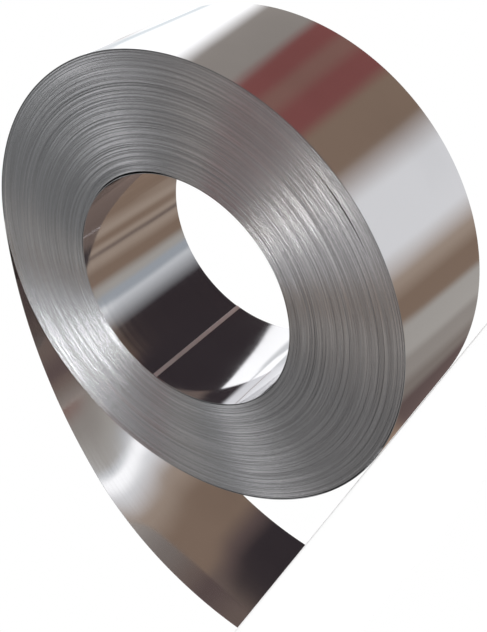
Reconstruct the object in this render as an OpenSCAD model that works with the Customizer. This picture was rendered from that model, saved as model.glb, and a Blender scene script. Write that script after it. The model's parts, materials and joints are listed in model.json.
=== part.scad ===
// Slit coil of bright steel strip. It stands on its rim, its bore along Y, and its outer end
// has sprung away from the rim and stands on the floor by its cut edge.

/* [Coil] */
// Diameter of the bore
bore_d = 200; // [150:1:240]
// Outside diameter of the wound coil
coil_d = 387; // [350:1:440]

/* [Strip] */
// Width of the strip, and so of the coil along its axis
strip_w = 123; // [60:1:200]
// Thickness of the strip
strip_t = 0.5; // [0.3:0.05:1]

/* [Free end] */
// Angle round the rim, up from the +X side, at which the strip leaves it
leave_angle = 112; // [100:1:120]
// Radius of the strip where it has just left the rim
upper_r = 453; // [400:1:520]
// Angle through which it keeps that radius
upper_sweep = 35; // [24:1:40]
// Distance along X from the axis to the cut edge that stands on the floor
reach = 315; // [290:1:340]

/* [Inner end] */
// Angle round the bore at which the strip's inner end lies
inner_end = 184; // [150:1:230]
// Angle over which the second turn comes in to the bore's radius, in front of that end
run_in = 20; // [12:1:30]

/* [Loose outer turns] */
// Angle at the middle of the gap under the outer turns
loose_angle = 335; // [300:1:345]
// Angle through which the gap runs
loose_sweep = 26; // [16:1:40]
// Distance from the gap to the rim
loose_depth = 12; // [8:0.5:12]
// Width of the gap at its middle
loose_gap = 1; // [0.5:0.1:2]

/* [End faces] */
// Number of bands of turns that show on each end face
bands = 26; // [12:1:36]
// Depth of the deepest band of turns below the strip's edge
stagger = 0.5; // [0.2:0.1:1]
// Width of the outermost band, which is level with the strip's edge and holds the gap
rim_band = 14; // [13:0.5:20]
// Width of the innermost band, which is level with it too
bore_band = 3; // [2:0.5:6]
// Share of a band's width by which its edge may lie to one side
unevenness = 0.3; // [0:0.05:0.4]

/* [Hidden] */
$fn = 180;

bore_r = bore_d / 2;
coil_r = coil_d / 2;
half_w = strip_w / 2;

// The strip leaves from just under the rim's surface, so that the two surfaces cross
root_sink = strip_t / 2;

// Both arcs of the free end are drawn this many degrees past each other and cut where they meet
overrun = 1;

// The strip is drawn this much wider at each edge and then cut to its width in one go
spare = 2;

// Mean width of the bands between the innermost and the outermost one
band_w = (coil_r - rim_band - bore_r - bore_band) / bands;

// Steps from one band's depth to the next, which differ on the two ends and look uneven
near_stride = 7;
far_stride = 11;
levels = 5;

// Turn in degrees from one band's unevenness to the next
uneven_step = 137;

function along(a) = [cos(a), sin(a)];

// The upper arc of the free end, about a centre on the far side of the axis
upper_centre = (coil_r - root_sink - upper_r) * along(leave_angle);
bend_angle = leave_angle + upper_sweep;
bend_point = upper_centre + upper_r * along(bend_angle);

// The lower arc leaves the upper one along its tangent and ends where its cut edge meets the floor
foot = [-reach, -coil_r];
to_foot = foot - bend_point;
lower_r = -(to_foot * to_foot) / (2 * to_foot * along(bend_angle));
lower_centre = bend_point - lower_r * along(bend_angle);
lower_sweep = 2 * asin(norm(to_foot) / (2 * lower_r));

// Radius at which band i begins, counted outwards from the innermost band
function band_r(i) =
    bore_r + bore_band + band_w * (i + (i > 0 && i < bands ? unevenness * sin(i * uneven_step) : 0));

// Depth of band i, where stride sets how the depths follow each other
function band_depth(i, stride) = stagger * (1 + (i * stride) % levels) / levels;

// A stretch of strip bent to one radius, measured to its outer face
module bent_strip(centre, radius, start, sweep) {
    translate(centre)
        rotate(start)
            rotate_extrude(angle = sweep)
                translate([radius - strip_t, -half_w - spare])
                    square([strip_t, strip_w + 2 * spare]);
}

// The space about the free end just below the plane where its arcs meet (side 0) or just above it (side -1)
module beside_bend(side) {
    depth = 2 * lower_r * sin(overrun);
    translate(bend_point)
        rotate(bend_angle)
            translate([-2 * spare, side * depth, -half_w - 2 * spare])
                cube([4 * spare, depth, strip_w + 4 * spare]);
}

module free_end() {
    difference() {
        bent_strip(upper_centre, upper_r, leave_angle, upper_sweep + overrun);
        beside_bend(0);
    }
    difference() {
        bent_strip(lower_centre, lower_r, bend_angle - overrun, lower_sweep + overrun);
        beside_bend(-1);
    }
}

module wound_turns() {
    rotate_extrude()
        translate([bore_r, -half_w - spare])
            square([coil_r - bore_r, strip_w + 2 * spare]);
}

// A cylinder inside the given radius that stands out of it by rise, falling to nothing at half_sweep each way
module bulge(radius, rise, angle, half_sweep) {
    half_chord = radius * sin(half_sweep);
    height = radius + rise - radius * cos(half_sweep);
    bulge_r = (pow(half_chord, 2) + pow(height, 2)) / (2 * height);
    translate((radius + rise - bulge_r) * along(angle))
        cylinder(r = bulge_r, h = strip_w + 2 * spare, center = true);
}

// The gap under the outer turns where they have sprung out a little
module loose_gap_space() {
    difference() {
        bulge(coil_r - loose_depth, loose_gap, loose_angle, loose_sweep / 2);
        cylinder(r = coil_r - loose_depth, h = strip_w + 4 * spare, center = true);
    }
}

// The space in front of the strip's inner end, one thickness deep at the end
module inner_end_space() {
    intersection() {
        bulge(bore_r, strip_t, inner_end, run_in);
        rotate(inner_end)
            translate([0, -coil_r, -half_w - spare])
                cube([coil_r, coil_r, strip_w + 2 * spare]);
    }
}

// What is cut from one end so that its bands of turns lie at their own depths
module band_steps(stride) {
    floor_line = [
        for (i = [0 : bands - 1], r = [band_r(i), band_r(i + 1)]) [r, half_w - band_depth(i, stride)]
    ];
    rotate_extrude()
        polygon(concat(floor_line, [[band_r(bands), half_w + spare], [band_r(0), half_w + spare]]));
}

module steel_strip_coil() {
    color([0.62, 0.62, 0.63])
        rotate([90, 0, 0])
            difference() {
                intersection() {
                    union() {
                        wound_turns();
                        free_end();
                    }
                    cube([4 * coil_r + 2 * reach, 4 * coil_r, strip_w], center = true);
                }
                loose_gap_space();
                inner_end_space();
                band_steps(near_stride);
                mirror([0, 0, 1])
                    band_steps(far_stride);
            }
}

steel_strip_coil();
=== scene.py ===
import json
import math
import random

import bpy
from mathutils import Matrix, Vector, noise


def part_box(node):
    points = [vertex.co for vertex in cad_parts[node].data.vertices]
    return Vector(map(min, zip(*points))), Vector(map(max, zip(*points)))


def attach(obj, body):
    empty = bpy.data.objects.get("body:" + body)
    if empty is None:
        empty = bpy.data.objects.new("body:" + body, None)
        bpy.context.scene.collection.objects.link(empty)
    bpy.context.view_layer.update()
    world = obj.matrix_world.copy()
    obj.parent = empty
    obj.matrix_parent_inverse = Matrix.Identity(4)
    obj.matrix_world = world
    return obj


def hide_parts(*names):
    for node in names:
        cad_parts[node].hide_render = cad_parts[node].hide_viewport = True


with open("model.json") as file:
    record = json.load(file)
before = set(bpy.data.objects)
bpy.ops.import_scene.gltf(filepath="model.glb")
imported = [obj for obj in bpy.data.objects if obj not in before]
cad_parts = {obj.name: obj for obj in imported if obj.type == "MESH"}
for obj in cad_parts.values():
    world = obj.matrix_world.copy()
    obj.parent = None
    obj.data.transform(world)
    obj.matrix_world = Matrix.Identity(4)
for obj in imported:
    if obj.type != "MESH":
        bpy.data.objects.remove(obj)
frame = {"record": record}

bl_info = {
    "name": "Slit Coil of Bright Strip",
    "version": (1, 0, 0),
    "blender": (4, 5, 0),
    "location": "View3D > Sidebar > Strip Coil",
    "description": "Winds a coil of bright steel strip with a free outer end, and sets the stage for it",
    "category": "Object",
}

NODE = "steel_strip_coil"
BODY = "root"
LOW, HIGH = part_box(NODE)
BORE = next(mount for mount in frame["record"]["mounts"] if mount["name"] == "bore")
MM = 0.001
FULL_TURN = 2 * math.pi


# Sizes, finish and stage

class CoilSizes(bpy.types.PropertyGroup):
    bore_radius: bpy.props.FloatProperty(
        name="Bore radius", description="Radius of the open bore",
        default=BORE["dims"]["r_mm"] * MM, unit="LENGTH")
    coil_radius: bpy.props.FloatProperty(
        name="Coil radius", description="Radius of the wound coil, which stands on the floor",
        default=-LOW.z, unit="LENGTH")
    half_width: bpy.props.FloatProperty(
        name="Half width", description="Half the width of the strip",
        default=HIGH.y, unit="LENGTH")
    thickness: bpy.props.FloatProperty(
        name="Thickness", description="Thickness of the strip",
        default=0.5 * MM, unit="LENGTH")
    leave_angle: bpy.props.FloatProperty(
        name="Leaving angle", description="Angle round the rim at which the free end leaves it",
        default=math.radians(112), subtype="ANGLE")
    upper_radius: bpy.props.FloatProperty(
        name="Upper radius", description="Radius of the free end where it has just left the rim",
        default=0.453, unit="LENGTH")
    upper_sweep: bpy.props.FloatProperty(
        name="Upper sweep", description="Angle through which the free end keeps that radius",
        default=math.radians(35), subtype="ANGLE")
    reach: bpy.props.FloatProperty(
        name="Reach", description="Distance along X from the axis to the cut edge on the floor",
        default=0.315, unit="LENGTH")
    inner_end: bpy.props.FloatProperty(
        name="Inner end", description="Angle round the bore at which the strip's inner end lies",
        default=math.radians(184), subtype="ANGLE")
    stagger: bpy.props.FloatProperty(
        name="Stagger", description="How far the turns' edges lie behind each other on the end faces",
        default=0.3 * MM, unit="LENGTH")
    slack: bpy.props.FloatProperty(
        name="Slack", description="Gap between the wound turns and the innermost and outermost ones",
        default=0.35 * MM, unit="LENGTH")
    loose_depth: bpy.props.FloatProperty(
        name="Loose depth", description="Distance from the rim to the gap under the loose outer turns",
        default=12 * MM, unit="LENGTH")
    loose_gap: bpy.props.FloatProperty(
        name="Loose gap", description="Width of that gap at its middle",
        default=1.0 * MM, unit="LENGTH")


class CoilFinish(bpy.types.PropertyGroup):
    steel: bpy.props.FloatVectorProperty(
        name="Steel", description="Colour of the bright strip",
        default=(0.62, 0.62, 0.63), size=3, subtype="COLOR")
    face_roughness: bpy.props.FloatProperty(
        name="Face roughness", description="Roughness of the rolled faces", default=0.07)
    edge_roughness: bpy.props.FloatProperty(
        name="Edge roughness", description="Roughness of the slit edges", default=0.2)
    unevenness: bpy.props.FloatProperty(
        name="Unevenness", description="Height of the gentle waves in the rolled faces",
        default=0.3 * MM, unit="LENGTH")


class StageSettings(bpy.types.PropertyGroup):
    floor_colour: bpy.props.FloatVectorProperty(
        name="Floor", description="Colour of the floor",
        default=(0.97, 0.97, 0.97), size=3, subtype="COLOR")
    front_power: bpy.props.FloatProperty(
        name="Front light", description="Power of the light in front of each end",
        default=5.2, subtype="POWER")
    top_power: bpy.props.FloatProperty(
        name="Top light", description="Power of the light above", default=2.2, subtype="POWER")
    surroundings: bpy.props.FloatProperty(
        name="Surroundings", description="Brightness of what the strip mirrors", default=1.6)


def sizes():
    return bpy.context.scene.coil_sizes


def finish():
    return bpy.context.scene.coil_finish


def along(angle):
    """The direction at an angle round the bore's axis, counted from +X towards +Z."""
    return Vector((math.cos(angle), 0, math.sin(angle)))


# Nodes

BLACK = (0, 0, 0, 1)
PURE_WHITE = (1, 1, 1, 1)

# Sockets of a Mix node that mixes two colours, by number
FACTOR = 0
FIRST = 6
SECOND = 7
MIXED = 2


def fresh_nodes(holder):
    """The emptied node tree of a material or a world."""
    holder.use_nodes = True
    tree = holder.node_tree
    tree.nodes.clear()
    return tree


def node(tree, kind, inputs=(), **settings):
    """A node with its settings. Its inputs, by name or number, are values or other nodes' sockets."""
    made = tree.nodes.new(kind)
    for name, value in settings.items():
        setattr(made, name, value)
    for name, value in dict(inputs).items():
        if isinstance(value, bpy.types.NodeSocket):
            tree.links.new(value, made.inputs[name])
        else:
            made.inputs[name].default_value = value
    return made


def maths(tree, operation, *values):
    """The output of a Math node."""
    return node(tree, "ShaderNodeMath", dict(enumerate(values)), operation=operation).outputs[0]


def squared(tree, value):
    return maths(tree, "MULTIPLY", value, value)


def length(tree, first, second):
    """The length of a vector of two parts."""
    return maths(tree, "SQRT", maths(tree, "ADD", squared(tree, first), squared(tree, second)))


def smooth_step(tree, value, low, high, bottom=0.0, top=1.0):
    inputs = {"Value": value, "From Min": low, "From Max": high, "To Min": bottom, "To Max": top}
    return node(tree, "ShaderNodeMapRange", inputs, interpolation_type="SMOOTHSTEP").outputs[0]


def noise_of(tree, vector, scale=1.0, detail=2.0, roughness=0.5):
    inputs = {"Vector": vector, "Scale": scale, "Detail": detail, "Roughness": roughness}
    return node(tree, "ShaderNodeTexNoise", inputs).outputs["Fac"]


def mix_colour(tree, factor, first, second, blend="MIX"):
    inputs = {FACTOR: factor, FIRST: first, SECOND: second}
    return node(tree, "ShaderNodeMix", inputs, data_type="RGBA", blend_type=blend).outputs[MIXED]


def object_place(tree):
    return node(tree, "ShaderNodeTexCoord").outputs["Object"]


def parts_of(tree, vector):
    """The X, Y and Z outputs of a vector."""
    return node(tree, "ShaderNodeSeparateXYZ", {0: vector}).outputs


def ramp(tree, factor, stops):
    """A colour ramp's output, with stops of (position from 0 to 1, colour)."""
    made = node(tree, "ShaderNodeValToRGB", {"Fac": factor})
    band = made.color_ramp
    band.elements[0].position, band.elements[0].color = stops[0]
    band.elements[1].position, band.elements[1].color = stops[-1]
    for position, colour in stops[1:-1]:
        band.elements.new(position).color = colour
    return made.outputs["Color"]


def seen(red, green, blue):
    """A colour given as it looks on a screen, 0 to 255, as scene-linear values."""
    def linear(level):
        share = level / 255
        return share / 12.92 if share <= 0.04045 else ((share + 0.055) / 1.055) ** 2.4
    return (linear(red), linear(green), linear(blue), 1)


# Camera

# The camera stands just above the floor and is rolled
CAMERA_PLACE = Vector((0.5419, -0.5387, -0.1925))
CAMERA_LOOK = Vector((-0.6895, 0.6907, 0.2179))
CAMERA_ROLL = math.radians(-50.7)
LENS = 54.8
CLIP_START = 0.01

# Width and height of the image, and the pixel that the lens's axis meets
IMAGE = (487, 632)
OPTICAL_CENTRE = (248.8, 273.2)


def add_camera():
    bpy.ops.object.camera_add(location=CAMERA_PLACE)
    camera = bpy.context.object
    camera.name = "camera"
    level = CAMERA_LOOK.to_track_quat("-Z", "Y").to_matrix()
    camera.rotation_euler = (level @ Matrix.Rotation(CAMERA_ROLL, 3, "Z")).to_euler()
    long_side = max(IMAGE)
    camera.data.lens = LENS
    camera.data.shift_x = (IMAGE[0] / 2 - OPTICAL_CENTRE[0]) / long_side
    camera.data.shift_y = (OPTICAL_CENTRE[1] - IMAGE[1] / 2) / long_side
    camera.data.clip_start = CLIP_START
    bpy.context.scene.camera = camera


# Surroundings

# A mirrored direction has a bearing, its angle in degrees round the bore's axis from +X towards +Z,
# and a level, how far it leans towards that axis, from 0 to 1. The strip's faces keep the level of
# what they mirror, so each stretch of strip mirrors levels of its own.

# Colours of the mirrored bands, as they look on a screen
WHITE = seen(254, 254, 255)
SILVER = seen(205, 205, 207)
PALE = seen(190, 196, 200)
PEWTER = seen(182, 184, 187)
MIST = seen(146, 151, 157)
ASH = seen(153, 149, 144)
SAND = seen(146, 131, 119)
GREY = seen(133, 127, 122)
STONE = seen(112, 104, 99)
CLAY = seen(99, 86, 80)
SLATE = seen(102, 102, 102)
TAN = seen(119, 101, 88)
BRICK = seen(117, 86, 79)
RED = seen(115, 69, 67)
DUSK = seen(84, 71, 69)
DARK = seen(46, 40, 43)

# The bands, as (first bearing, last bearing, colour)
OVER_RIM = (
    (-180, -162, DUSK), (-152, -147, STONE), (-138, -128, GREY), (-122, -106, ASH), (-101, -90, TAN),
    (-81, -79, SAND), (-65, -36, SILVER), (-18, 2, TAN), (9, 19, RED), (26, 31, BRICK), (37, 46, RED),
    (53, 79, GREY), (93, 145, WHITE), (178, 180, DUSK),
)
IN_FRONT = ((-180, -150, SLATE), *OVER_RIM[2:-2], (96, 118, SLATE), (128, 135, SILVER), (147, 180, SLATE))
THROUGH_BORE = (
    (-180, -134, TAN), (-121, -118, SAND), (-112, -109, TAN), (-105, -103, SAND), (-99, -98, CLAY),
    (-95, -92, SAND), (-83, -75, TAN), (-67, -64, ASH), (-59, -54, MIST), (-50, -48.2, PEWTER),
    (-28, 180, DARK),
)
BY_FREE_END = (
    (-180, -79, DUSK), (-74, -71, STONE), (-68.5, -66, BRICK), (-62, -60, GREY), (-54, -51, ASH),
    (-48, -46.7, PEWTER), (-45.9, -41, WHITE), (-36.5, -35.5, SILVER), (-25, -22, SAND), (-12, 6, TAN),
    (14, 14.5, DUSK), (21, 84, DARK), (100, 145, WHITE), (178, 180, DUSK),
)
LOW_BY_FREE_END = (*BY_FREE_END[:-4], (10, 80, CLAY), *BY_FREE_END[-2:])

# The bands that show where the strip mirrors itself
TWICE_IN_BORE = ((-180, -25, CLAY), (-5, 33, DARK), (45, 180, SILVER))
TWICE_BY_FREE_END = (
    (-180, -136, CLAY), (-120, -116, DUSK), (-108, -107, CLAY), (-90, -87, STONE), (-66, 180, GREY),
)

# What is mirrored twice is brighter by this share, so that its bands too look as written
TWICE_LIFT = 0.6

# Ranges of level over which one part's view gives way to the next one's
RIM_TO_FREE_END = (0.4, 0.46)
LOW_TO_HIGH_FREE_END = (0.5, 0.52)
FREE_END_TO_BORE = (0.573, 0.584)
BORE_TO_RIM = (0.682, 0.7)
ROUND_TO_ENDS = (0.88, 0.94)

# Range of a direction's Y over which the view in front of the near end gives way to the one behind the coil
FRONT_TO_BEHIND = (-0.15, 0.15)

# The bands waver through this many degrees, by noise of this scale
WAVER = 3.0
WAVER_SCALE = 7.0

# The bands over the rim fan out from one bearing as they near the axis, from a first level on. At a
# second level they lie as written.
FAN_BEARING = -30
FAN_START = 0.7
FAN_LEVEL = 0.78
FAN_RATE = 2.2

# The thin line of the backdrop's far edge, which shows where the rim turns away at the top
EDGE_BEARING = 123
EDGE_HALF_WIDTH = 9

# The white backdrop seen from the bore begins at this bearing, and from one level on lower and lower
BACKDROP_BEARING = 86.5
BACKDROP_BLUR = 1
BACKDROP_LEVEL = 0.6
BACKDROP_DROP = 2900

# Grey shapes in that backdrop come in over a range of bearings, from a range of noise
SHAPE_SCALE = 11.0
SHAPE_DETAIL = 1.0
SHAPE_NOISE = (0.48, 0.55)
SHAPE_BEARINGS = (98, 105)
SHAPE_SHARE = 0.8

# Pale clouds in the bore's warm bands go out over a range of bearings, from a range of noise
CLOUD_SCALE = 9.0
CLOUD_DETAIL = 4.0
CLOUD_NOISE = (0.45, 0.75)
CLOUD_BEARINGS = (-84, -74)
CLOUD_SHARE = 0.5

# The bands seen from the free end bend away on both sides of one level, up to another
BEND_LEVEL = 0.504
BEND_RATE = 10400
BEND_LIMIT = 0.53

# The Glossy Depth that parts rays mirrored once, at 1, from rays mirrored twice, at 2
BETWEEN_ONCE_AND_TWICE = 1.5


def bands(tree, bearing, table):
    """The colour of a table's band at a bearing."""
    stops = []
    for first, last, colour in table:
        stops += [((first + 180) / 360, colour), ((last + 180) / 360, colour)]
    return ramp(tree, maths(tree, "MULTIPLY_ADD", bearing, 1 / 360, 0.5), stops)


def fan_out(tree, bearing, level):
    """The bearing at which the bands over the rim are read, so that they fan out."""
    rise = maths(tree, "SUBTRACT", maths(tree, "MAXIMUM", level, FAN_START), FAN_LEVEL)
    spread = maths(tree, "MULTIPLY_ADD", rise, -FAN_RATE, 1.0)
    return maths(tree, "MULTIPLY_ADD", maths(tree, "SUBTRACT", bearing, FAN_BEARING), spread, FAN_BEARING)


def seen_over_rim(tree, bearing, fanned):
    off_edge = maths(tree, "ABSOLUTE", maths(tree, "SUBTRACT", bearing, EDGE_BEARING))
    on_edge = smooth_step(tree, off_edge, 0, EDGE_HALF_WIDTH, 1, 0)
    return mix_colour(tree, on_edge, bands(tree, fanned, OVER_RIM), PALE)


def seen_through_bore(tree, heading, bearing, wavering, level):
    cloud_noise = noise_of(tree, heading, CLOUD_SCALE, CLOUD_DETAIL)
    clouds = smooth_step(tree, cloud_noise, *CLOUD_NOISE, 0, CLOUD_SHARE)
    below = smooth_step(tree, bearing, *CLOUD_BEARINGS, 1, 0)
    warm = mix_colour(tree, maths(tree, "MULTIPLY", clouds, below), bands(tree, wavering, THROUGH_BORE), SAND)

    shape_noise = noise_of(tree, heading, SHAPE_SCALE, SHAPE_DETAIL)
    shapes = smooth_step(tree, shape_noise, *SHAPE_NOISE, 0, SHAPE_SHARE)
    above = smooth_step(tree, bearing, *SHAPE_BEARINGS)
    backdrop = mix_colour(tree, maths(tree, "MULTIPLY", shapes, above), WHITE, PEWTER)

    past = maths(tree, "SUBTRACT", maths(tree, "MAXIMUM", level, BACKDROP_LEVEL), BACKDROP_LEVEL)
    lowest = maths(tree, "MULTIPLY_ADD", squared(tree, past), -BACKDROP_DROP, BACKDROP_BEARING)
    over_lowest = maths(tree, "SUBTRACT", bearing, lowest)
    return mix_colour(tree, smooth_step(tree, over_lowest, -BACKDROP_BLUR, BACKDROP_BLUR), warm, backdrop)


def seen_by_free_end(tree, bearing, level):
    aside = maths(tree, "SUBTRACT", maths(tree, "MINIMUM", level, BEND_LIMIT), BEND_LEVEL)
    bent = maths(tree, "MULTIPLY_ADD", squared(tree, aside), BEND_RATE, bearing)
    high = smooth_step(tree, level, *LOW_TO_HIGH_FREE_END)
    return mix_colour(tree, high, bands(tree, bent, LOW_BY_FREE_END), bands(tree, bent, BY_FREE_END))


def mirrored_bands(tree, twice):
    """The colour of what the strip mirrors, where twice is 1 for rays that it has mirrored before."""
    heading = node(tree, "ShaderNodeTexCoord").outputs["Generated"]
    x, y, z = parts_of(tree, heading)
    level = maths(tree, "ABSOLUTE", y)
    bearing = maths(tree, "DEGREES", maths(tree, "ARCTAN2", z, x))
    waver = maths(tree, "MULTIPLY_ADD", noise_of(tree, heading, WAVER_SCALE), WAVER, -WAVER / 2)
    wavering = maths(tree, "ADD", bearing, waver)
    fanned = fan_out(tree, wavering, level)

    over = seen_over_rim(tree, bearing, fanned)
    through = seen_through_bore(tree, heading, bearing, wavering, level)
    through = mix_colour(tree, twice, through, bands(tree, bearing, TWICE_IN_BORE))
    beside = seen_by_free_end(tree, bearing, level)
    beside = mix_colour(tree, twice, beside, bands(tree, bearing, TWICE_BY_FREE_END))

    behind = mix_colour(tree, smooth_step(tree, level, *FREE_END_TO_BORE), beside, through)
    behind = mix_colour(tree, smooth_step(tree, level, *BORE_TO_RIM), behind, over)
    behind = mix_colour(tree, smooth_step(tree, level, *RIM_TO_FREE_END), over, behind)
    around = mix_colour(tree, smooth_step(tree, y, *FRONT_TO_BEHIND), bands(tree, fanned, IN_FRONT), behind)
    return mix_colour(tree, smooth_step(tree, level, *ROUND_TO_ENDS), around, SLATE)


def make_surroundings(strength):
    """Plain white for the camera, even light for the floor, and for the strip the bands that it mirrors."""
    world = bpy.data.worlds.new("soft_surroundings")
    bpy.context.scene.world = world
    tree = fresh_nodes(world)
    rays = node(tree, "ShaderNodeLightPath")
    twice = maths(tree, "GREATER_THAN", rays.outputs["Glossy Depth"], BETWEEN_ONCE_AND_TWICE)
    lifted = maths(tree, "MULTIPLY_ADD", twice, TWICE_LIFT * strength, strength)
    plain = node(tree, "ShaderNodeBackground", {"Color": PURE_WHITE, "Strength": 1.0})
    mirrored = node(tree, "ShaderNodeBackground", {"Color": mirrored_bands(tree, twice), "Strength": lifted})
    both = node(tree, "ShaderNodeMixShader", {
        0: rays.outputs["Is Glossy Ray"], 1: plain.outputs[0], 2: mirrored.outputs[0]})
    node(tree, "ShaderNodeOutputWorld", {"Surface": both.outputs[0]})


# Floor and lights

FLOOR_SIZE = 12

# Each light's direction from the origin, its distance and its diameter
FRONT_LIGHT = ((-0.28, -0.95, 0.07), 2.2, 0.35)
REAR_LIGHT = ((0.28, 0.95, 0.07), 2.2, 0.35)
TOP_LIGHT = ((-0.35, -0.5, 0.79), 2.4, 1.2)


def floor_finish(colour):
    """A plain pale floor that shows to the camera and takes shadows, and that the strip doesn't mirror."""
    material = bpy.data.materials.new("pale_floor")
    tree = fresh_nodes(material)
    rays = node(tree, "ShaderNodeLightPath")
    pale = node(tree, "ShaderNodeBsdfDiffuse", {"Color": (*colour, 1)})
    clear = node(tree, "ShaderNodeBsdfTransparent")
    both = node(tree, "ShaderNodeMixShader", {
        0: rays.outputs["Is Glossy Ray"], 1: pale.outputs[0], 2: clear.outputs[0]})
    node(tree, "ShaderNodeOutputMaterial", {"Surface": both.outputs[0]})
    return material


def add_soft_light(name, direction, distance, size, power):
    place = Vector(direction).normalized() * distance
    bpy.ops.object.light_add(type="AREA", location=place)
    lamp = bpy.context.object
    lamp.name = name
    lamp.rotation_euler = (-place).to_track_quat("-Z", "Y").to_euler()
    lamp.data.shape = "DISK"
    lamp.data.size = size
    lamp.data.energy = power
    lamp.visible_camera = False


class MakeStage(bpy.types.Operator):
    """Set the floor, the soft lights, the surroundings and the camera"""
    bl_idname = "strip_coil.make_stage"
    bl_label = "Make Stage"

    def execute(self, context):
        stage = context.scene.coil_stage
        bpy.ops.mesh.primitive_plane_add(size=FLOOR_SIZE, location=(0, 0, LOW.z))
        floor = context.object
        floor.name = "floor"
        floor.data.materials.append(floor_finish(stage.floor_colour))
        make_surroundings(stage.surroundings)
        add_soft_light("front_light", *FRONT_LIGHT, stage.front_power)
        add_soft_light("rear_light", *REAR_LIGHT, stage.front_power)
        add_soft_light("top_light", *TOP_LIGHT, stage.top_power)
        add_camera()
        context.scene.view_settings.view_transform = "Standard"
        return {"FINISHED"}


# Modelling

# Points that lie nearer to each other than this are one
SAME_POINT = 0.001 * MM


def start_clean():
    """Object mode with nothing selected."""
    if bpy.context.object and bpy.context.object.mode != "OBJECT":
        bpy.ops.object.mode_set(mode="OBJECT")
    bpy.ops.object.select_all(action="DESELECT")


def start_point(name, place):
    """A new object in edit mode that holds one selected vertex."""
    start_clean()
    bpy.ops.mesh.primitive_plane_add(size=1)
    piece = bpy.context.object
    piece.name = name
    piece.data.name = name
    bpy.ops.object.mode_set(mode="EDIT")
    bpy.ops.mesh.merge(type="CENTER")
    bpy.ops.transform.translate(value=place)
    return piece


def pull(step):
    """Extrudes what is selected by a step."""
    bpy.ops.mesh.extrude_region_move(TRANSFORM_OT_translate={"value": step})


def swing(centre, angle, steps):
    """Spins what is selected about an axis along Y, towards smaller angles where the angle is over 0."""
    bpy.ops.mesh.spin(steps=steps, angle=angle, center=centre, axis=(0, -1, 0))


def close_surface():
    """Merges what lies together, turns all faces outwards and leaves edit mode."""
    bpy.ops.mesh.select_all(action="SELECT")
    bpy.ops.mesh.remove_doubles(threshold=SAME_POINT)
    bpy.ops.mesh.normals_make_consistent(inside=False)
    bpy.ops.object.mode_set(mode="OBJECT")


def apply_all(piece):
    for modifier in list(piece.modifiers):
        bpy.ops.object.modifier_apply(modifier=modifier.name)


def hand_over(piece, material):
    """Gives a finished piece its finish and its place in the frame."""
    piece.data.materials.clear()
    piece.data.materials.append(material)
    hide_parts(NODE)
    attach(piece, BODY)


# The innermost and outermost turns

# Steps in a full turn, and the fewest in an arc
FACE_STEPS = 256
LEAST_STEPS = 8

# Width of the flat that blunts the strip's corners
CORNER = 0.12 * MM
FACE_SMOOTHING = math.radians(30)


def strip_of_arcs(name, start, arcs, inside):
    """A strip that starts at a point and follows arcs of (centre, angle), solid towards its inside."""
    s = sizes()
    piece = start_point(name, start + Vector((0, -s.half_width, 0)))
    pull((0, 2 * s.half_width, 0))
    bpy.ops.mesh.select_all(action="SELECT")
    for centre, angle in arcs:
        swing(centre, angle, max(LEAST_STEPS, round(FACE_STEPS * abs(angle) / FULL_TURN)))
    close_surface()
    wall = piece.modifiers.new("wall", "SOLIDIFY")
    wall.thickness = s.thickness
    wall.offset = inside
    wall.use_even_offset = True
    corner = piece.modifiers.new("corner", "BEVEL")
    corner.width = CORNER
    corner.segments = 1
    corner.limit_method = "ANGLE"
    apply_all(piece)
    bpy.ops.object.shade_smooth_by_angle(angle=FACE_SMOOTHING)
    return piece


def coil_arcs(start, drop):
    """Two half turns about centres to either side of the axis, which together come in by drop."""
    shift = drop / 4
    return ((along(start) * shift, math.pi), (-along(start) * shift, math.pi))


class WindOuterTurn(bpy.types.Operator):
    """Wind the outermost turn, with the free end that stands on the floor"""
    bl_idname = "strip_coil.wind_outer_turn"
    bl_label = "Wind Outer Turn"

    def execute(self, context):
        s = sizes()
        root = s.coil_radius - s.thickness / 2
        upper_centre = along(s.leave_angle) * (root - s.upper_radius)
        bend_angle = s.leave_angle + s.upper_sweep
        bend = upper_centre + along(bend_angle) * s.upper_radius
        foot = Vector((-s.reach, 0, -s.coil_radius))
        to_foot = foot - bend
        lower_radius = -to_foot.length_squared / (2 * to_foot.dot(along(bend_angle)))
        lower_centre = bend - along(bend_angle) * lower_radius
        lower_sweep = 2 * math.asin(to_foot.length / (2 * lower_radius))
        arcs = ((lower_centre, lower_sweep), (upper_centre, s.upper_sweep),
                *coil_arcs(s.leave_angle, s.thickness))
        hand_over(strip_of_arcs("outer_turn", foot, arcs, inside=-1), face_finish())
        return {"FINISHED"}


class WindInnerTurn(bpy.types.Operator):
    """Wind the innermost turn, with the strip's inner end in the bore"""
    bl_idname = "strip_coil.wind_inner_turn"
    bl_label = "Wind Inner Turn"

    def execute(self, context):
        s = sizes()
        start = along(s.inner_end) * (s.bore_radius + s.thickness)
        arcs = coil_arcs(s.inner_end, s.thickness)
        hand_over(strip_of_arcs("inner_turn", start, arcs, inside=1), scuffed_finish())
        return {"FINISHED"}


# The turns between, seen on the two ends

# Each end's piece, its side of the mid plane and the seed of its turns
ENDS = (("near_end_turns", -1, 1.5), ("far_end_turns", 1, 9.5))
END_STEPS = 128
EDGE_SMOOTHING = math.radians(50)

# Turns that were wound on level with each other lie in groups of so many. Within a group their depths
# differ by up to this share of the stagger each way.
GROUP_TURNS = (3, 11)
DEPTH_WITHIN_GROUP = 0.12

# Depth of the groove between two turns, and of the one before each group
GROOVE = 0.1 * MM
DEEP_GROOVE = 0.4 * MM

# Where a turn's flat edge begins and ends, as shares of the pitch from one turn to the next
FLAT_START = 0.22
FLAT_START_AFTER_DEEP_GROOVE = 0.45
FLAT_END = 0.78

# The split under the loose outer turns, which is all but closed where they haven't sprung out
SPLIT_DEPTH = 58 * MM
SPLIT_WIDTH = 0.02 * MM

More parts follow.
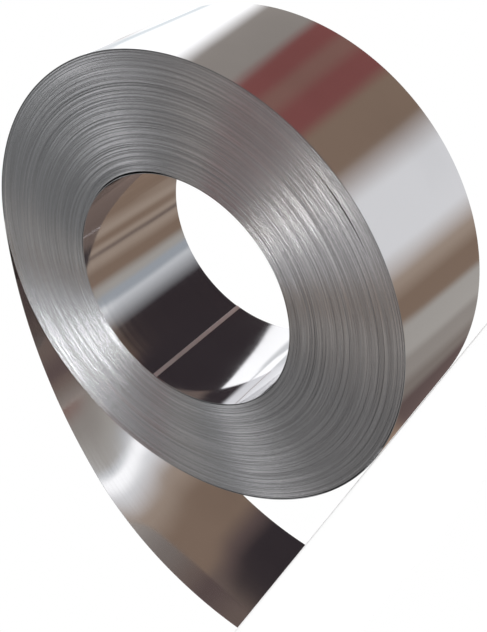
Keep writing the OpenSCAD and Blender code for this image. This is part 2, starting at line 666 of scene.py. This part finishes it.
# Places where the turns gape, as (angle in degrees, half its sweep, width in mm), and how deep into the
# turns they are felt
INNER_GAPES = ((50, 28, 1.2), (107, 20, 0.7), (205, 40, 0.6))
OUTER_GAPES = ((245, 55, 0.8),)
GAPE_REACH = 8 * MM

# The place where the outer turns have sprung out, with its width as a share of the loose gap's
LOOSE_PLACE = ((335, 14, 1.0),)

# Thicknesses of strip between the rim and the slack under the outermost turn
OUTERMOST_THICKNESSES = 1.5

# The turns' edges wander in depth by this share of the stagger, within this depth of the end
WANDER_SHARE = 0.6
WANDER_DEPTH = 2 * MM

# How fast the wander changes from group to group and round the coil
WANDER_PER_GROUP = 1.7
WANDER_ROUND = 1.2

# Share of the pitch by which a point may lie short of its own turn
TURN_TOLERANCE = 0.05


def turn_groups(count, seed):
    """For each turn, its group's number, the depth of its edge and whether it is the first of its group."""
    dice = random.Random(seed)
    turns = []
    group = 0
    while len(turns) < count:
        depth = dice.random()
        for place in range(dice.randint(*GROUP_TURNS)):
            apart = dice.uniform(-DEPTH_WITHIN_GROUP, DEPTH_WITHIN_GROUP)
            turns.append((group, max(0, depth + apart), place == 0))
        group += 1
    return turns[:count]


def gape(places, angle):
    """The width in mm of the gaps of a list at an angle."""
    width = 0
    for middle, half_sweep, most in places:
        off = (math.degrees(angle) - middle + 180) % 360 - 180
        width += most * max(0, 1 - (off / half_sweep) ** 2)
    return width


def stack_bounds():
    """The inner and outer radius of the turns between, their number and the pitch from one to the next."""
    s = sizes()
    inner = s.bore_radius + s.thickness + s.slack
    outer = s.coil_radius - OUTERMOST_THICKNESSES * s.thickness - s.slack
    count = round((outer - inner) / s.thickness)
    return inner, outer, count, (outer - inner) / count


def first_loose_turn():
    """The number of the innermost loose turn, which lies on the split."""
    s = sizes()
    inner, _, _, pitch = stack_bounds()
    return round((s.coil_radius - s.loose_depth - inner) / pitch)


def end_profile(seed):
    """The outline of half the turns between, from the mid plane to one end, as (radius, distance along Y)."""
    s = sizes()
    inner, outer, count, pitch = stack_bounds()
    loose_turn = first_loose_turn()
    points = [(inner, 0)]
    for turn, (_, depth, first) in enumerate(turn_groups(count, seed)):
        left = inner + turn * pitch
        top = s.half_width - depth * s.stagger
        if turn == loose_turn:
            points.append((left - SPLIT_WIDTH, top - GROOVE))
            points.append((left - SPLIT_WIDTH, s.half_width - SPLIT_DEPTH))
            points.append((left, s.half_width - SPLIT_DEPTH))
        points.append((left, top - (DEEP_GROOVE if first else GROOVE)))
        points.append((left + (FLAT_START_AFTER_DEEP_GROOVE if first else FLAT_START) * pitch, top))
        points.append((left + FLAT_END * pitch, top))
    points.append((outer, s.half_width - GROOVE))
    points.append((outer, 0))
    return points


def stack_turns(name, side, seed):
    """The turns between, from the mid plane to the end at side -1 (near) or +1 (far)."""
    points = [Vector((radius, side * y, 0)) for radius, y in end_profile(seed)]
    piece = start_point(name, points[0])
    for here, there in zip(points, points[1:]):
        pull(there - here)
    bpy.ops.mesh.select_all(action="DESELECT")
    bpy.ops.object.mode_set(mode="OBJECT")
    for vertex in piece.data.vertices:
        vertex.select = vertex.co.y == 0
    bpy.ops.object.mode_set(mode="EDIT")
    bpy.ops.mesh.edge_face_add()
    bpy.ops.mesh.select_all(action="SELECT")
    swing((0, 0, 0), FULL_TURN, END_STEPS)
    close_surface()
    loosen(piece, side, seed)
    bpy.ops.object.shade_smooth_by_angle(angle=EDGE_SMOOTHING)
    return piece


def loosen(piece, side, seed):
    """Lets the turns wander a little as they go round, and gape where they are loose."""
    s = sizes()
    inner, outer, count, pitch = stack_bounds()
    loose_radius = inner + first_loose_turn() * pitch
    turns = turn_groups(count, seed)
    for vertex in piece.data.vertices:
        angle = math.atan2(vertex.co.z, vertex.co.x)
        radius = math.hypot(vertex.co.x, vertex.co.z)
        turn = min(count - 1, max(0, math.floor((radius - inner) / pitch + TURN_TOLERANCE)))
        way = along(angle)
        if side * vertex.co.y > s.half_width - WANDER_DEPTH:
            group = turns[turn][0]
            spot = Vector((group * WANDER_PER_GROUP + seed, WANDER_ROUND * way.x, WANDER_ROUND * way.z))
            vertex.co.y -= side * (0.5 + 0.5 * noise.noise(spot)) * WANDER_SHARE * s.stagger
        near_bore = max(0, 1 - (radius - inner) / GAPE_REACH)
        near_rim = max(0, 1 - (outer - radius) / GAPE_REACH)
        push = near_bore * gape(INNER_GAPES, angle) - near_rim * gape(OUTER_GAPES, angle)
        vertex.co += way * push * MM
        apart = gape(LOOSE_PLACE, angle) * s.loose_gap
        if radius > loose_radius - SPLIT_WIDTH / 4:
            vertex.co += way * apart * 0.5 * (outer - radius) / (outer - loose_radius)
        elif radius > loose_radius - GAPE_REACH:
            vertex.co -= way * apart * 0.5 * (1 - (loose_radius - radius) / GAPE_REACH)


class StackTurns(bpy.types.Operator):
    """Stack the wound turns, whose edges show on the two ends"""
    bl_idname = "strip_coil.stack_turns"
    bl_label = "Stack Turns"

    def execute(self, context):
        edges = edge_finish()
        for name, side, seed in ENDS:
            hand_over(stack_turns(name, side, seed), edges)
        return {"FINISHED"}


# Finishes

# Fine lines that the rolls have left along the strip, by noise drawn out along it, and the shares of the
# roughness between which they vary it
LINES_SCALE = (6, 900, 6)
LINES_DETAIL = 3.0
LINES_NOISE = (0.3, 0.7)
LINES_ROUGHNESS = (0.8, 1.2)

# Faint darker clouds in the rolled faces, and their share of the steel's brightness
HAZE_SCALE = 9.0
HAZE_DETAIL = 3.0
HAZE_NOISE = (0.45, 0.75)
HAZE_SHARE = 0.94

# The noise of the gentle waves in the rolled faces
WAVES_SCALE = 11.0
WAVES_DETAIL = 1.0

# The scuffed line by the inner end, by its angle round the bore, and the share of its width that is
# scuffed in full
SCUFF_MIDDLE = math.radians(185.2)
SCUFF_HALF_WIDTH = math.radians(1.4)
SCUFF_CORE = 0.6
SCUFF_ROUGHNESS = 0.5
SCUFF_COLOUR = (0.62, 0.57, 0.57, 1)

# Streaks in the slit edges, by noise that changes quickly from turn to turn and slowly round them
STREAKS_ACROSS = 600
STREAKS_ROUND = 1.3
STREAKS_DETAIL = 3.0
STREAKS_GRAIN = 0.6
STREAKS_NOISE = (0.3, 0.7)
STREAKS_DARKEST = 0.3
STREAKS_ROUGHNESS = (1.25, 0.85)

# The slit edges are tinted faintly, from cool at the top left to warm at the lower right, over
# this range of X less Z
COOL = (0.99, 1.0, 1.01, 1)
WARM = (1.01, 0.99, 0.985, 1)
TARNISH_SPAN = (-0.15, 0.2)

# The slit edges are brighter than the rolled faces
EDGE_BRIGHTNESS = 1.05

# Painted shade in the gaps between the turns: the colour darkens below the end, more so from one depth below
# it to another
GAP_SHADE_START = 0.6 * MM
GAP_SHADE_FULL = 1.3 * MM
GAP_SHADE_DARKNESS = 0.8


def scaled(colour, share):
    """A share of a colour of three parts, with an alpha of 1."""
    return (*[part * share for part in colour], 1)


def steel(tree, colour, roughness, **others):
    """The surface of a bare metal, whose other inputs are given by name."""
    inputs = {"Base Color": colour, "Metallic": 1.0, "Roughness": roughness, **others}
    shader = node(tree, "ShaderNodeBsdfPrincipled", inputs)
    node(tree, "ShaderNodeOutputMaterial", {"Surface": shader.outputs[0]})


def scuff_at(tree, place):
    """1 on the scuffed line, falling to 0 beside it."""
    x, _, z = parts_of(tree, place)
    middle = along(SCUFF_MIDDLE)
    towards = maths(tree, "ADD", maths(tree, "MULTIPLY", x, middle.x), maths(tree, "MULTIPLY", z, middle.z))
    off = maths(tree, "ARCCOSINE", maths(tree, "DIVIDE", towards, length(tree, x, z)))
    return smooth_step(tree, off, SCUFF_CORE * SCUFF_HALF_WIDTH, SCUFF_HALF_WIDTH, 1, 0)


def rolled_steel(name, scuffed):
    """The rolled face of the strip: mirror-like and very slightly uneven, dull where it is scuffed."""
    material = bpy.data.materials.new(name)
    tree = fresh_nodes(material)
    f = finish()
    place = object_place(tree)
    drawn_out = node(tree, "ShaderNodeMapping", {"Vector": place, "Scale": LINES_SCALE}).outputs[0]
    lines = noise_of(tree, drawn_out, 1.0, LINES_DETAIL)
    smoother, rougher = [share * f.face_roughness for share in LINES_ROUGHNESS]
    roughness = smooth_step(tree, lines, *LINES_NOISE, smoother, rougher)
    haze = smooth_step(tree, noise_of(tree, place, HAZE_SCALE, HAZE_DETAIL), *HAZE_NOISE)
    colour = mix_colour(tree, haze, scaled(f.steel, 1), scaled(f.steel, HAZE_SHARE))
    if scuffed:
        scuff = scuff_at(tree, place)
        roughness = maths(tree, "MULTIPLY_ADD", scuff, SCUFF_ROUGHNESS, roughness)
        colour = mix_colour(tree, scuff, colour, SCUFF_COLOUR)
    height = noise_of(tree, place, WAVES_SCALE, WAVES_DETAIL)
    waves = node(tree, "ShaderNodeBump", {"Height": height, "Distance": f.unevenness, "Strength": 1.0})
    steel(tree, colour, roughness, Normal=waves.outputs[0])
    return material


def face_finish():
    return rolled_steel("rolled_face", scuffed=False)


def scuffed_finish():
    return rolled_steel("scuffed_face", scuffed=True)


def edge_finish():
    """The slit edges of the turns: satin, each turn a little different from the next."""
    material = bpy.data.materials.new("slit_edges")
    tree = fresh_nodes(material)
    f = finish()
    place = object_place(tree)
    x, y, z = parts_of(tree, place)
    radius = length(tree, x, z)
    across = maths(tree, "MULTIPLY", maths(tree, "DIVIDE", x, radius), STREAKS_ROUND)
    up = maths(tree, "MULTIPLY", maths(tree, "DIVIDE", z, radius), STREAKS_ROUND)
    outwards = maths(tree, "MULTIPLY", radius, STREAKS_ACROSS)
    polar = node(tree, "ShaderNodeCombineXYZ", {0: across, 1: outwards, 2: up}).outputs[0]
    streaks = noise_of(tree, polar, 1.0, STREAKS_DETAIL, STREAKS_GRAIN)

    # A faint tint, cool at the top left and warm at the lower right
    side_tint = mix_colour(tree, smooth_step(tree, maths(tree, "SUBTRACT", x, z), *TARNISH_SPAN), COOL, WARM)
    colour = mix_colour(tree, 1.0, side_tint, scaled(f.steel, EDGE_BRIGHTNESS), blend="MULTIPLY")
    colour = mix_colour(tree, smooth_step(tree, streaks, *STREAKS_NOISE, STREAKS_DARKEST, 0), colour, BLACK)
    # Painted shade: the gaps between the turns go darker with depth below the end
    off_middle = maths(tree, "ABSOLUTE", y)
    gap = smooth_step(tree, off_middle, HIGH.y - GAP_SHADE_FULL, HIGH.y - GAP_SHADE_START, GAP_SHADE_DARKNESS, 0)
    colour = mix_colour(tree, gap, colour, BLACK)
    rougher, smoother = [share * f.edge_roughness for share in STREAKS_ROUGHNESS]
    steel(tree, colour, smooth_step(tree, streaks, *STREAKS_NOISE, rougher, smoother))
    return material


# Panel and running order

class StripCoilPanel(bpy.types.Panel):
    """Lists the steps that make the coil and its stage"""
    bl_idname = "VIEW3D_PT_strip_coil"
    bl_label = "Strip Coil"
    bl_space_type = "VIEW_3D"
    bl_region_type = "UI"
    bl_category = "Strip Coil"

    def draw(self, context):
        for step in STEPS:
            self.layout.operator(step.bl_idname)


STEPS = (MakeStage, WindOuterTurn, WindInnerTurn, StackTurns)
GROUPS = {"coil_sizes": CoilSizes, "coil_finish": CoilFinish, "coil_stage": StageSettings}
CLASSES = (*GROUPS.values(), *STEPS, StripCoilPanel)


def register():
    for kind in CLASSES:
        bpy.utils.register_class(kind)
    for name, group in GROUPS.items():
        setattr(bpy.types.Scene, name, bpy.props.PointerProperty(type=group))


def unregister():
    for name in GROUPS:
        delattr(bpy.types.Scene, name)
    for kind in reversed(CLASSES):
        bpy.utils.unregister_class(kind)


def main():
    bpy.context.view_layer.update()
    register()
    bpy.ops.strip_coil.make_stage()
    bpy.ops.strip_coil.wind_outer_turn()
    bpy.ops.strip_coil.wind_inner_turn()
    bpy.ops.strip_coil.stack_turns()
    start_clean()


if __name__ == "__main__":
    main()
